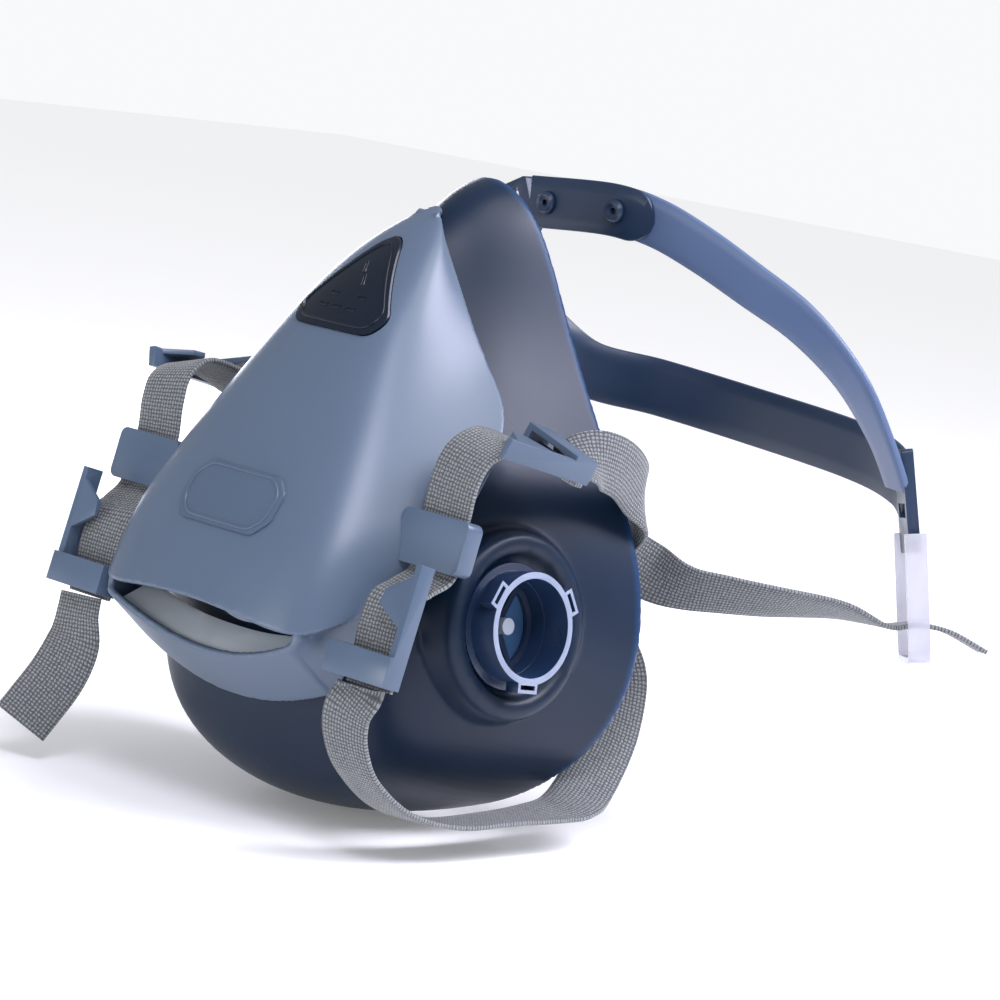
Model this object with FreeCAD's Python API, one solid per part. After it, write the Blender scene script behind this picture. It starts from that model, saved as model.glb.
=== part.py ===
import FreeCAD, Part
import math
import os
from FreeCAD import Matrix, Vector

# Half-face respirator: a soft silicone facepiece, a rigid valve cover with a downward exhaust
# mouth, two bayonet cartridge ports, and a webbing harness that ends in a plastic head cradle.
# Millimetres. +Z is up, -Y is the front of the mask, +X is the wearer's left.
# The origin is the middle of the opening that seals on the face.

# ---- driving dimensions -------------------------------------------------------------------
SILICONE_WALL = 2.4
COVER_WALL = 2.0
BADGE_PROUD = 0.5
EMBLEM_PROUD = 0.6

PORT_RADIUS = 14.6            # outside of the bayonet tube
PORT_BORE = 12.9              # inside of the tube's mouth
PORT_THROAT = 12.7            # inside of the tube below its mouth
MOUTH_DEPTH = 8.5
PORT_LENGTH = 22.0
LUG_TIP_RADIUS = 16.8
LUG_WIDTH = 7.0
LUG_LENGTH = 4.5
LUG_WALL = 0.9
LUG_ANGLES = (25, 145, 265)
COLLAR_RADIUS = 24.3          # silicone collar round the port
COLLAR_RECESS_RADIUS = 18.6   # the hollow in the collar, round the foot of the tube
COLLAR_RISE = 2.4             # the collar sits this much above the tube's axis
RUNNING_GAP = 0.3             # clear space between parts that move past each other

EXHALE_RADIUS = 15.0          # bore of the exhalation valve seat
SEAT_EDGE_RADIUS = 19.0       # hole in the silicone that grips the seat

WEB_WIDTH = 16.0
WEB_THICK = 1.3
BUCKLE_LENGTH = 29.0
RAIL_THICK = 2.0
BAR_RADIUS = 1.3
EAR_TAIL = 3.0                # how far a buckle's ears reach behind its bar

BAND_THICK = 1.8
FRONT_BAND_WIDTH = 14.0
REAR_BAND_WIDTH = 17.0
END_FRAME_LENGTH = 29.0
END_FRAME_WIDTH = 16.4
END_FRAME_THICK = 3.2
LINK_LENGTH = 36.0
LINK_WIDTH = 21.6
LINK_DEPTH = 6.0
LINK_WALL = 1.8
STUD_RADIUS = 3.2

os.makedirs("parts", exist_ok=True)


# ---- small geometry tools -----------------------------------------------------------------
def save(name, shape):
    """Writes one sub-part."""
    shape.exportStep("parts/" + name + ".step")


def other_side(shape):
    """The same piece on the wearer's right."""
    return shape.mirror(Vector(0, 0, 0), Vector(1, 0, 0))


def place(shape, origin, x_axis, y_axis, z_axis):
    """Moves a piece from its own axes to a place on the mask."""
    frame = Matrix(x_axis.x, y_axis.x, z_axis.x, origin.x,
                   x_axis.y, y_axis.y, z_axis.y, origin.y,
                   x_axis.z, y_axis.z, z_axis.z, origin.z,
                   0, 0, 0, 1)
    moved = shape.copy()
    moved.Placement = FreeCAD.Placement(frame)
    return moved


def square_axes(main, side):
    """Unit axes: z along main, x as near side as it can be, and y square to both."""
    z_axis = Vector(*main).normalize()
    x_axis = Vector(*side)
    x_axis = (x_axis - z_axis * x_axis.dot(z_axis)).normalize()
    return x_axis, z_axis.cross(x_axis), z_axis


def box(x_range, y_range, z_range):
    """A box between two limits on each axis."""
    size = [high - low for low, high in (x_range, y_range, z_range)]
    return Part.makeBox(*size, Vector(x_range[0], y_range[0], z_range[0]))


def disc(radius, low, high):
    """A cylinder on the Z axis."""
    return Part.makeCylinder(radius, high - low, Vector(0, 0, low))


def ring(inner, outer, low, high):
    """A flat ring on the Z axis."""
    return disc(outer, low, high).cut(disc(inner, low - 1, high + 1))


def join(shapes):
    """One solid from pieces that meet."""
    return shapes[0].fuse(shapes[1:]).removeSplitter()


def largest(shape):
    """The biggest solid of a cut piece."""
    return max(shape.Solids, key=lambda solid: solid.Volume)


def knots_for(count, degree, closed):
    """Knot values and multiplicities of an even spline with this many control points."""
    if closed:
        return [float(k) for k in range(count + 1)], [1] * (count + 1)
    spans = count - degree
    return [float(k) for k in range(spans + 1)], [degree + 1] + [1] * (spans - 1) + [degree + 1]


def skin(grid, closed):
    """A smooth surface held by a grid of control points; closed joins each row to itself."""
    rows = len(grid)
    columns = len(grid[0])
    row_degree = min(3, rows - 1)
    column_degree = min(3, columns - 1)
    row_knots, row_mults = knots_for(rows, row_degree, False)
    column_knots, column_mults = knots_for(columns, column_degree, closed)
    surface = Part.BSplineSurface()
    surface.buildFromPolesMultsKnots(grid, row_mults, column_mults, row_knots, column_knots,
                                     False, closed, row_degree, column_degree)
    return surface


def shifted(grid, distance, inside, closed):
    """The grid moved square to itself, away from the point called inside."""
    rows = len(grid)
    columns = len(grid[0])
    moved = []
    for i in range(rows):
        new_row = []
        for j in range(columns):
            left = grid[i][j - 1] if closed or j > 0 else grid[i][j]
            right = grid[i][(j + 1) % columns] if closed or j < columns - 1 else grid[i][j]
            along = grid[min(i + 1, rows - 1)][j] - grid[max(i - 1, 0)][j]
            normal = (right - left).cross(along).normalize()
            if normal.dot(grid[i][j] - inside) < 0:
                normal = -normal
            new_row.append(grid[i][j] + normal * distance)
        moved.append(new_row)
    return moved


def sheet(outer_grid, inner_grid, closed=False):
    """A closed solid between two grids of control points, with a narrow wall along each edge."""
    outer = skin(outer_grid, closed)
    inner = skin(inner_grid, closed)
    faces = [outer.toShape(), inner.toShape()]
    u_low, u_high, v_low, v_high = outer.bounds()
    for u in (u_low, u_high):
        faces.append(Part.makeRuledSurface(outer.uIso(u).toShape(), inner.uIso(u).toShape()))
    if not closed:
        for v in (v_low, v_high):
            faces.append(Part.makeRuledSurface(outer.vIso(v).toShape(), inner.vIso(v).toShape()))
    shell = Part.makeShell(faces)
    shell.sewShape()
    solid = Part.makeSolid(Part.Shell(shell.Faces))
    if solid.Volume < 0:
        solid.reverse()
    return solid


def ribbon(stations, width, thick):
    """A flat strap through stations of (point, direction across the width)."""
    points = [Vector(*point) for point, _ in stations]
    wires = []
    for index, (_, across) in enumerate(stations):
        before = points[max(index - 1, 0)]
        after = points[min(index + 1, len(points) - 1)]
        side, face, _ = square_axes(after - before, across)
        half_side = side * (width / 2)
        half_face = face * (thick / 2)
        corners = [points[index] + half_side * a + half_face * b
                   for a, b in ((1, 1), (-1, 1), (-1, -1), (1, -1))]
        wires.append(Part.makePolygon(corners + corners[:1]))
    return Part.makeLoft(wires, True, False)


# ---- facepiece ----------------------------------------------------------------------------
# Control points in five loops from the face seal to the front, each from the nose (x = 0) down
# one side to the chin (x = 0). A sixth loop is the round hole for the exhalation valve.
SEAL_RIM = [(0, -2, 81), (15, 2.5, 73), (24.5, 6.5, 51), (36, 9.8, 26), (49.5, 14.5, 2),
            (62, 18.5, -26), (63.5, 15, -62), (42, -4, -90), (0, -18, -94)]
SEAL_ROLL = [(0, -11, 78), (13, -9, 70), (21.5, -7, 50), (33.5, -6, 27), (47.5, -2, 3),
             (58.5, 4, -23), (60.5, 2, -62), (41, -15, -91), (0, -27, -97)]
CHEEK = [(0, -22, 68), (8.5, -21, 60), (17, -22, 45), (29, -22, 29), (45, -23, 6),
         (55.5, -24, -20), (57.5, -27, -58), (43, -38, -87), (0, -44, -97)]
UNDER_COVER = [(0, -33, 57), (7, -32, 50), (13, -33, 38), (24, -37, 23), (38, -43, 4),
               (48, -50, -16), (53, -58, -52), (40, -63, -78), (0, -67, -85)]
FRONT_WALL = [(0, -46, 36), (7, -46, 31), (13, -48, 23), (20, -52, 12), (28, -57, 0),
              (35, -62, -18), (35, -64, -44), (22, -65, -57), (0, -65, -61)]

EXHALE_CENTRE = Vector(0, -65, -22)
EXHALE_AXES = square_axes((0, -0.977, 0.21), (1, 0, 0))
HEART = Vector(0, -20, -15)   # a point in the middle of the breathing space


def full_loop(half):
    """A half loop from nose to chin, closed by its mirror image."""
    points = [Vector(*point) for point in half]
    return points + [Vector(-point.x, point.y, point.z) for point in reversed(points[1:-1])]


def exhale_loop():
    """The front loop, round the exhalation valve, with as many points as the others."""
    x_axis, y_axis, _ = EXHALE_AXES
    count = 2 * (len(SEAL_RIM) - 1)
    loop = []
    for index in range(count):
        angle = 2 * math.pi * index / count
        loop.append(EXHALE_CENTRE + x_axis * (SEAT_EDGE_RADIUS * math.sin(angle))
                    + y_axis * (SEAT_EDGE_RADIUS * math.cos(angle)))
    return loop


PORT_CENTRE = Vector(65.0, -31.6, -31.6)
PORT_UP = square_axes((0.986, -0.051, 0.16), (0, 0, 1))
PORT_AXES = (PORT_UP[0].cross(PORT_UP[2]), PORT_UP[0], PORT_UP[2])   # rearward, up, outward


def at_port(shape):
    """Moves a piece drawn round the Z axis to the left port, its rim at z = 0."""
    return place(shape, PORT_CENTRE, *PORT_AXES)


def at_exhale(shape):
    """Moves a piece drawn round the Z axis to the exhalation valve."""
    return place(shape, EXHALE_CENTRE, *EXHALE_AXES)


def facepiece():
    """The silicone shell with a collar round each port."""
    loops = [full_loop(loop) for loop in (SEAL_RIM, SEAL_ROLL, CHEEK, UNDER_COVER, FRONT_WALL)]
    loops.append(exhale_loop())
    shell = sheet(loops, shifted(loops, -SILICONE_WALL, HEART, True), True)
    raised = Vector(0, COLLAR_RISE, 0)
    collar = disc(COLLAR_RADIUS, -17, -7).translate(raised)
    collar = at_port(collar.cut(disc(COLLAR_RECESS_RADIUS, -9.6, 0).translate(raised * 0.5)))
    hole = at_port(disc(PORT_RADIUS + RUNNING_GAP, -30, 0))
    shell = join([shell, collar, other_side(collar)])
    valve_hole = at_exhale(disc(SEAT_EDGE_RADIUS - 0.35, -12, 12))
    return largest(shell.cut([hole, other_side(hole), valve_hole]))


# ---- inhalation ports ---------------------------------------------------------------------
SEAT_LOW = -14.6
FLAP_LOW = -15.5
POST_HEAD = -18.6
RETAINER_RANGE = (-19.2, -17.2)
POST_DEPTH = 9.0              # top of the post below the rim


def inhalation_port():
    """Bayonet tube with three hollow lugs, a clamping flange, a spider and a flap post."""
    pieces = [ring(PORT_BORE, PORT_RADIUS, -MOUTH_DEPTH, 0),
              ring(PORT_THROAT, PORT_RADIUS, -PORT_LENGTH, -MOUTH_DEPTH),
              ring(PORT_BORE, PORT_RADIUS + 1.9, -9.3, -8.1),
              ring(11.2, PORT_BORE + 0.2, SEAT_LOW, SEAT_LOW + 1.4)]
    for angle in LUG_ANGLES:
        lug = box((PORT_BORE + 0.3, LUG_TIP_RADIUS), (-LUG_WIDTH / 2, LUG_WIDTH / 2),
                  (-LUG_LENGTH, 0))
        pocket = box((PORT_RADIUS + 0.1, LUG_TIP_RADIUS - LUG_WALL),
                     (LUG_WALL - LUG_WIDTH / 2, LUG_WIDTH / 2 - LUG_WALL),
                     (LUG_WALL - LUG_LENGTH, 1))
        pieces.append(lug.cut(pocket).cut(disc(PORT_BORE, -30, 5))
                      .rotate(Vector(0, 0, 0), Vector(0, 0, 1), angle))
    for angle in (55, 175, 295):
        spoke = box((0, PORT_BORE + 0.3), (-0.8, 0.8), (SEAT_LOW, SEAT_LOW + 1.6))
        pieces.append(spoke.rotate(Vector(0, 0, 0), Vector(0, 0, 1), angle))
    pieces.append(disc(2.2, SEAT_LOW, -POST_DEPTH))
    pieces.append(disc(0.8, POST_HEAD, SEAT_LOW + 1))
    pieces.append(disc(1.7, POST_HEAD - 1.0, POST_HEAD))
    return at_port(join(pieces))


def inhalation_flap():
    """Thin silicone disc that hangs on the post behind the spider."""
    return at_port(ring(1.1, 12.3, FLAP_LOW, FLAP_LOW + 0.7))


def port_retainer():
    """Ring that clamps the silicone from inside the mask, with three finger tabs."""
    pieces = [ring(PORT_RADIUS + 0.05, 19.5, *RETAINER_RANGE)]
    for angle in (0, 120, 240):
        tab = box((19.0, 21.0), (-2.5, 2.5), RETAINER_RANGE)
        pieces.append(tab.rotate(Vector(0, 0, 0), Vector(0, 0, 1), angle))
    return at_port(join(pieces))


# ---- exhalation valve ---------------------------------------------------------------------
def exhalation_seat():
    """Ring gripped by the edge of the silicone, with a four-armed spider and a stem."""
    pieces = [ring(EXHALE_RADIUS, SEAT_EDGE_RADIUS - 0.4, -5.5, 3.0),
              ring(SEAT_EDGE_RADIUS - 0.6, SEAT_EDGE_RADIUS + 3.0, 0.9, 2.2),
              ring(SEAT_EDGE_RADIUS - 0.6, SEAT_EDGE_RADIUS + 3.0, -5.5, -4.2)]
    for angle in range(0, 360, 90):
        arm = box((0, EXHALE_RADIUS + 0.5), (-0.9, 0.9), (0.6, 2.4))
        pieces.append(arm.rotate(Vector(0, 0, 0), Vector(0, 0, 1), angle + 45))
    pieces.append(disc(2.4, 0.2, 2.8))
    pieces.append(disc(0.9, 2.0, 7.2))
    pieces.append(disc(1.9, 7.0, 8.0))
    return at_exhale(join(pieces))


def exhalation_flap():
    """Silicone disc on the stem; it lifts forward to let breath out."""
    return at_exhale(ring(1.2, 16.4, 3.2, 4.1))


# ---- valve cover --------------------------------------------------------------------------
# Control points in rows from the tip over the nose to the upper lip of the exhaust mouth, each
# row from the middle (x = 0) over the shoulder and the flank to the rear edge.
COVER_ROWS = [[(0, -20.2, 69.6), (1.6, -20.6, 69.2), (3.2, -21.5, 68.2), (3.8, -22.5, 67), (3.4, -23.5, 66)],
              [(0, -32.5, 62.5), (7, -32, 62), (11.5, -30, 60.5), (12.3, -27.5, 59.3), (11.5, -25, 57.5)],
              [(0, -46, 50), (11, -45, 49.5), (18.5, -41.5, 48.5), (20, -33, 46.5), (20.5, -25, 44)],
              [(0, -57.5, 33), (15, -56.5, 33), (24.5, -51.5, 32), (27.5, -39, 31.5), (30.5, -25, 31)],
              [(0, -70.5, 11), (20, -69.5, 11), (31, -64, 11.5), (37, -48, 15), (43.5, -27, 20)],
              [(0, -81.5, -8), (23, -80.5, -8), (35.5, -75.5, -8), (42.5, -60, -4), (50.5, -41, 4)],
              [(0, -89, -22), (26, -88, -22.5), (39, -83.5, -22.5), (45, -68, -17), (51.5, -52, -10)],
              [(0, -94.6, -35), (22, -93, -37), (38.5, -89.5, -40), (44, -76, -34), (47, -60, -25)]]
LOWER_LIP = [(0, -85, -52), (20, -86.5, -48.5), (35, -89.2, -42)]
PANEL_EDGE = [(0, -70.6, -64.6), (20, -71.2, -61.5), (35.5, -71.5, -55)]
COVER_HEART = Vector(0, -40, -10)
BADGE_WINDOW = [(0, 60.5), (3.4, 58.5), (16.2, 39.5), (13.6, 35), (-13.6, 35), (-16.2, 39.5),
                (-3.4, 58.5)]
EMBLEM_CENTRE_Z = -10
EMBLEM_SIZE = (34, 15)


def full_rows(rows):
    """Half rows mirrored into rows that run right across the mask."""
    return [[Vector(-x, y, z) for x, y, z in reversed(row[1:])] + [Vector(*point) for point in row]
            for row in rows]


def cover_layer(outside, inside):
    """A shell that follows the cover, between two offsets from its outer face."""
    rows = full_rows(COVER_ROWS)
    return sheet(shifted(rows, outside, COVER_HEART, False),
                 shifted(rows, inside, COVER_HEART, False))


def chute_side():
    """Side wall of the exhaust mouth, from the flank down to the bottom panel."""
    top = [(36.4, -87.6, -37.6), (42.4, -75.6, -32.4), (46.2, -60.8, -24.4)]
    low = [(34.8, -88.4, -42.4), (35.2, -79, -49.5), (35.4, -71, -55)]
    outer = [[Vector(*point) for point in row] for row in (top, low)]
    inner = [[point + Vector(-COVER_WALL, 0, 0.4) for point in row] for row in outer]
    return sheet(outer, inner)


def bottom_panel():
    """Panel below the exhaust mouth, which turns the breath downwards."""
    outer = full_rows([LOWER_LIP, PANEL_EDGE])
    inner = [[point + Vector(0, 1.1, 1.7) for point in row] for row in outer]
    return sheet(outer, inner)


def exhaust_floor():
    """Floor of the exhaust chute, rising inwards from the lower lip."""
    front = [(0, -83.6, -52.2), (19, -84.6, -49), (31.5, -86.5, -43.8)]
    back = [(0, -74.5, -44.5), (19, -74, -43.5), (33, -74, -39.5)]
    outer = full_rows([front, back])
    inner = [[point + Vector(0, 0.9, -1.0) for point in row] for row in outer]
    return sheet(outer, inner)


def prism(outline):
    """A prism along Y through the front of the cover, from (x, z) points."""
    points = [Vector(x, -110, z) for x, z in outline]
    face = Part.Face(Part.makePolygon(points + points[:1]))
    return face.extrude(Vector(0, 85, 0))


def emblem_outline(grow):
    """A plain lozenge with cut corners, where a maker would mould its own mark."""
    half_x = EMBLEM_SIZE[0] / 2 + grow
    half_z = EMBLEM_SIZE[1] / 2 + grow
    cut = 4.0
    corners = [(half_x, cut - half_z), (half_x, half_z - cut), (half_x - cut, half_z),
               (cut - half_x, half_z), (-half_x, half_z - cut), (-half_x, cut - half_z),
               (cut - half_x, -half_z), (half_x - cut, -half_z)]
    return [(x, z + EMBLEM_CENTRE_Z) for x, z in corners]


def grown(outline, grow, centre):
    """An outline moved outwards from its centre."""
    result = []
    for x, z in outline:
        reach = math.hypot(x - centre[0], z - centre[1])
        scale = (reach + grow) / reach
        result.append((centre[0] + (x - centre[0]) * scale, centre[1] + (z - centre[1]) * scale))
    return result


def valve_cover():
    """Rigid shell over the front, with the exhaust mouth and a window for the badge."""
    shell = cover_layer(0, -COVER_WALL)
    side = chute_side()
    shell = join([shell, side, other_side(side), bottom_panel()])
    shell = shell.cut(prism(grown(BADGE_WINDOW, 0.2, (0, 46))))
    return shell.cut(prism(emblem_outline(0.15)).common(cover_layer(3, -1.0)))


# ---- strap guides and buckles -------------------------------------------------------------
FLANK_AXES = square_axes((0, -0.98, 0.20), (1, 0, 0))   # across, along, outward
GUIDE_CENTRE = Vector(54.4, -60.7, -11)


def strap_guide():
    """Flat loop on the cover's flank that the side strap slides through."""
    body = box((-12, 11), (-7, 7), (-2.7, 3.0))
    body = body.makeFillet(2.2, [edge for edge in body.Edges if edge.BoundBox.ZLength > 5])
    slot = box((-WEB_WIDTH / 2 - 1.0, WEB_WIDTH / 2 + 1.0), (-9, 9), (-1.3, 1.3))
    return place(body.cut(slot), GUIDE_CENTRE, *FLANK_AXES)


def buckle():
    """Strap buckle: an end block on a pivot bar, one side rail and a three-cornered tab.

    x is across the webbing, y runs from the pivot bar to the tab, z is away from the mask.
    """
    half = WEB_WIDTH / 2 + 0.5
    rail = box((half, half + RAIL_THICK), (-EAR_TAIL, BUCKLE_LENGTH), (-1.8, 3.6))
    far_ear = box((-half - RAIL_THICK, -half), (-EAR_TAIL, 5), (-1.8, 4.9))
    block = box((-half - RAIL_THICK, half + RAIL_THICK), (-EAR_TAIL, 5), (3.3, 4.9))
    bar = Part.makeCylinder(BAR_RADIUS, 2 * half + RAIL_THICK, Vector(-half - 1, 0, 0),
                            Vector(1, 0, 0))
    corners = [Vector(half + 0.5, 12, 2.2), Vector(half + 0.5, BUCKLE_LENGTH - 3, 2.2),
               Vector(1.2, BUCKLE_LENGTH - 8, 2.2), Vector(0.6, BUCKLE_LENGTH - 12, 2.2)]
    tab = Part.Face(Part.makePolygon(corners + corners[:1])).extrude(Vector(0, 0, 1.4))
    ear = box((half, half + RAIL_THICK), (-EAR_TAIL, 5), (-1.8, 4.9))
    return join([rail, far_ear, ear, block, bar, tab])


LOWER_PIVOT = Vector(53.2, -79, -43.5)
LOWER_ALONG = (0, 0.22, 0.975)
LOWER_ACROSS = (0.995, 0.02, -0.05)
UPPER_PIVOT = Vector(59.0, -25, 11.5)
UPPER_ALONG = (-0.07, -0.96, 0.20)
UPPER_ACROSS = (-0.95, 0.07, 0.26)


def buckle_at(pivot, along, across, rail_side):
    """A buckle on its pivot bar; rail_side is -1 where the rail is on the other edge."""
    x_axis, minus_z, y_axis = square_axes(along, across)
    shape = buckle()
    if rail_side < 0:
        shape = shape.mirror(Vector(0, 0, 0), Vector(1, 0, 0))
    return place(shape, pivot, x_axis, y_axis, -minus_z)


# ---- ends of the head cradle and the links that hang from them -------------------------------
PEG_RADIUS = 1.0
PEG_PLACE = END_FRAME_LENGTH - 2.6   # along the end frame
CRADLE_ENDS = {"left": (Vector(82.6, 92.6, 20), square_axes((0.25, 0.06, -0.96), (0.66, -0.72, 0.2))),
               "right": (Vector(-30, 52, 70), square_axes((-0.9, 0.1, -0.42), (-0.42, 0, 0.9)))}
LINK_FALL = {"left": (0.2, 0.05, -0.98), "right": (-0.55, 0.8, -0.26)}
STRAP_DROP = 22.5             # where the webbing passes through a link, below its pegs


def link_axes(side):
    """Pivot of a link, and its axes: across it, down it, and through its opening."""
    origin, axes = CRADLE_ENDS[side]
    down, _, across = square_axes(tuple(axes[0]), LINK_FALL[side])
    return origin + axes[2] * PEG_PLACE, across, down, across.cross(down)


LINK_AXES = {side: link_axes(side) for side in CRADLE_ENDS}


def through_link(side, step, drop=0):
    """A strap station this far past the link's middle, with the strap square in its opening."""
    pivot, across, down, through = LINK_AXES[side]
    if through.y < 0:
        through = -through
    return pivot + down * (STRAP_DROP + drop) + through * step, across


# ---- webbing ------------------------------------------------------------------------------
FLANK = (1, 0, 0)
SIDE_STRAP = [((58.4, -21.5, 7.9), (0.95, -0.07, -0.26)), ((58.2, -26.5, 9.1), (0.95, -0.07, -0.26)),
              ((57.9, -34, 12.4), (0.95, -0.07, -0.26)), ((57.4, -42, 14.9), (0.95, -0.07, -0.26)),
              ((56.9, -49.5, 15.6), (0.95, -0.05, -0.25)), ((56.0, -56, 12.0), (0.97, 0, -0.15)),
              ((55.0, -58.6, 5.0), (0.99, 0, -0.05)), ((54.4, -59.2, -3.5), FLANK),
              ((54.6, -60.7, -11), FLANK), ((55.2, -62.3, -18.5), FLANK),
              ((54.0, -68, -22.5), FLANK), ((53.2, -73, -25.6), FLANK),
              ((53.2, -75.6, -33), FLANK), ((53.2, -76.3, -41), FLANK),
              ((53.2, -77.2, -48), FLANK)]
HEAD_STRAP_LEFT = [((59.4, -20.7, 11.1), (-0.95, 0.07, 0.26)), ((60.6, -15.5, 12), (-0.7, 0.05, 0.7)),
                   ((60.8, -8, 11.5), (-0.15, -0.05, 1)), ((59.6, 1, 9), (0, 0.1, 1)),
                   ((57.4, 9.5, 4.5), (0, 0.25, 0.95)), ((54.2, 18, -1.5), (-0.25, 0, 1)),
                   ((47.5, 23, -9), (-0.2, 0, 1)), ((43.5, 28, -17), (-0.1, 0, 1)),
                   ((46, 35, -21.5), (0, 0, 1)), ((54, 41, -24.5), (0.41, -0.33, 0.84)),
                   ((62, 49, -25), (0.51, -0.41, 0.73)), ((70, 60, -25.5), (0.59, -0.47, 0.62)),
                   ((80, 78, -26.2), (0.68, -0.56, 0.4)), through_link("left", -8),
                   through_link("left", 0), through_link("left", 9, 2),
                   through_link("left", 19, 8)]
NECK_STRAP_LEFT = [((53.2, -80.2, -47.8), (0.99, 0.02, -0.05)), ((53.1, -80.6, -49.5), (0.99, 0, -0.05)),
                   ((51.4, -82, -55), (0.99, 0, -0.08)),
                   ((51, -80.5, -62.5), (0.99, 0, -0.08)), ((51.8, -75, -71.5), (0.98, 0, -0.05)),
                   ((54, -63, -80.5), (0.98, 0, 0.05)), ((56, -46, -84.8), (0.98, 0, 0.1)),
                   ((57, -26, -84.8), (0.98, 0, 0.1)), ((57.2, -8, -84.4), (0.97, 0.1, 0)),
                   ((57, 3, -83), (0.92, 0.35, -0.1)), ((53.5, 13.5, -78.5), (0.75, 0.6, -0.3)),
                   ((48.5, 26.5, -66), (0.5, 0.8, -0.1)),
                   ((42, 35, -54), (0.4, 0.85, 0.2)), ((33, 40, -47), (0.2, 0.5, 0.8))]
HEAD_STRAP_RIGHT = [((-59.4, -20.7, 11.1), (0.95, 0.07, 0.26)), ((-60.6, -15.5, 12), (0.7, 0.05, 0.7)),
                    ((-60.8, -8, 12), (0.15, -0.05, 1)), ((-60.6, 4, 12), (0, 0, 1)),
                    ((-61.5, 17, 14), (0, -0.1, 1)), ((-68, 32, 21), (0, -0.4, 0.9)),
                    ((-74, 47, 32), (-0.2, -0.5, 0.8)), ((-76, 59, 43), (-0.35, -0.3, 0.9)),
                    through_link("right", -8), through_link("right", 0), through_link("right", 11)]
NECK_STRAP_RIGHT = [((-53.2, -80.2, -47.8), (0.99, -0.02, 0.05)), ((-52.9, -80.9, -53), (0.98, 0, -0.1)),
                    ((-52.6, -81.4, -61), (0.87, 0.25, -0.35)), ((-54.6, -83.6, -70), (0.75, 0.42, -0.48)),
                    ((-58, -87.2, -79), (0.68, 0.5, -0.53)), ((-60, -89.8, -84.5), (0.68, 0.5, -0.53))]


# ---- head cradle --------------------------------------------------------------------------
FRONT_BAND = [((-28, 50, 70.5), (0, 0, 1)), ((2, 49, 72.6), (0.05, 0, 1)), ((16, 52, 71), (0.2, -0.1, 1)),
              ((30, 56, 66), (0.35, -0.15, 0.95)), ((45.5, 60, 59), (0.45, -0.2, 0.85)),
              ((61.5, 66, 50.5), (0.55, -0.3, 0.75)), ((74, 74, 38), (0.65, -0.4, 0.5)),
              ((80.5, 84, 22.5), (0.7, -0.5, 0.3)), ((84.5, 91, 9), (0.72, -0.53, 0.25))]
REAR_BAND = [((84.6, 95.8, 7), (0.1, -0.3, 1)), ((75, 101, 12), (0, -0.1, 1)), ((53, 109, 14.5), (0, 0, 1)),
             ((9, 118, 16), (0, 0, 1)), ((-22, 113, 18.5), (0, 0, 1)), ((-42, 100, 21), (0.1, 0.1, 1)),
             ((-50, 86, 32), (-0.1, 0.4, 0.9)), ((-50, 72, 46), (-0.15, 0.5, 0.8)),
             ((-47, 60, 58), (-0.3, 0.3, 0.85)), ((-44.6, 56, 63), (-0.42, 0, 0.9))]


def end_frame():
    """Moulded end of the cradle: z runs outwards along it, x across, with two band slots."""
    half = END_FRAME_WIDTH / 2
    thick = END_FRAME_THICK / 2
    plate = box((-half, half), (-thick, thick), (0, END_FRAME_LENGTH))
    plate = plate.makeFillet(1.2, [edge for edge in plate.Edges if edge.BoundBox.YLength > 3])
    slots = [box((-half + 2.4, half - 2.4), (-5, 5), (low, low + 4)) for low in (4.0, 15.0)]
    peg_hole = Part.makeCylinder(PEG_RADIUS + 0.05, 3 * half, Vector(-1.5 * half, 0, PEG_PLACE),
                                 Vector(1, 0, 0))
    return plate.cut(slots + [peg_hole])


def cradle_bands():
    """The two bands of the head cradle, and the doubled end held by snap studs."""
    front = ribbon(FRONT_BAND, FRONT_BAND_WIDTH, BAND_THICK)
    rear = ribbon(REAR_BAND, REAR_BAND_WIDTH, BAND_THICK)
    return front, rear


DOUBLED_END = [((-28, 48.3, 70.5), (0, 0, 1)), ((2, 47.3, 72.6), (0.05, 0, 1)),
               ((16.4, 50.3, 71), (0.2, -0.1, 1))]
STUD_PLACES = [Vector(-21, 47.0, 71.0), Vector(5, 46.5, 72.4)]


def snap_studs():
    """Two round studs through the doubled end of the front band."""
    studs = []
    for centre in STUD_PLACES:
        head = disc(STUD_RADIUS, 0, 1.2).fuse(ring(STUD_RADIUS - 1.2, STUD_RADIUS, 1.0, 1.7))
        studs.append(place(head, centre, Vector(1, 0, 0), Vector(0, 0, 1), Vector(0, -1, 0)))
    return Part.makeCompound(studs)


def strap_link():
    """Clear stirrup on two pegs: y runs down it, z is through its opening."""
    half = LINK_WIDTH / 2
    gap = half - LINK_WALL
    end = LINK_LENGTH - 3.0
    outline = box((-half, half), (-3.0, end), (-LINK_DEPTH / 2, LINK_DEPTH / 2))
    outline = outline.makeFillet(4.0, [edge for edge in outline.Edges
                                       if edge.BoundBox.ZLength > 5 and edge.BoundBox.YMin > 5])
    hole = box((-gap, gap), (-9, end - LINK_WALL), (-9, 9))
    hole = hole.makeFillet(2.4, [edge for edge in hole.Edges
                                 if edge.BoundBox.ZLength > 5 and edge.BoundBox.YMin > 5])
    pegs = Part.makeCylinder(PEG_RADIUS, 2 * gap, Vector(-gap, 0, 0), Vector(1, 0, 0))
    space = box((2.2 - gap, gap - 2.2), (-3, 3), (-3, 3))
    return join([outline.cut(hole), pegs.cut(space)])


seat = exhalation_seat()
retainer = port_retainer()
shell = facepiece().cut([seat, retainer, other_side(retainer)])
cover = valve_cover()
guide = largest(strap_guide().cut(cover_layer(0.1, -9)))
badge = cover_layer(BADGE_PROUD, -1.6).common(prism(BADGE_WINDOW))
emblem = cover_layer(EMBLEM_PROUD, -0.9).common(prism(emblem_outline(0)))
front_band, rear_band = cradle_bands()

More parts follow.
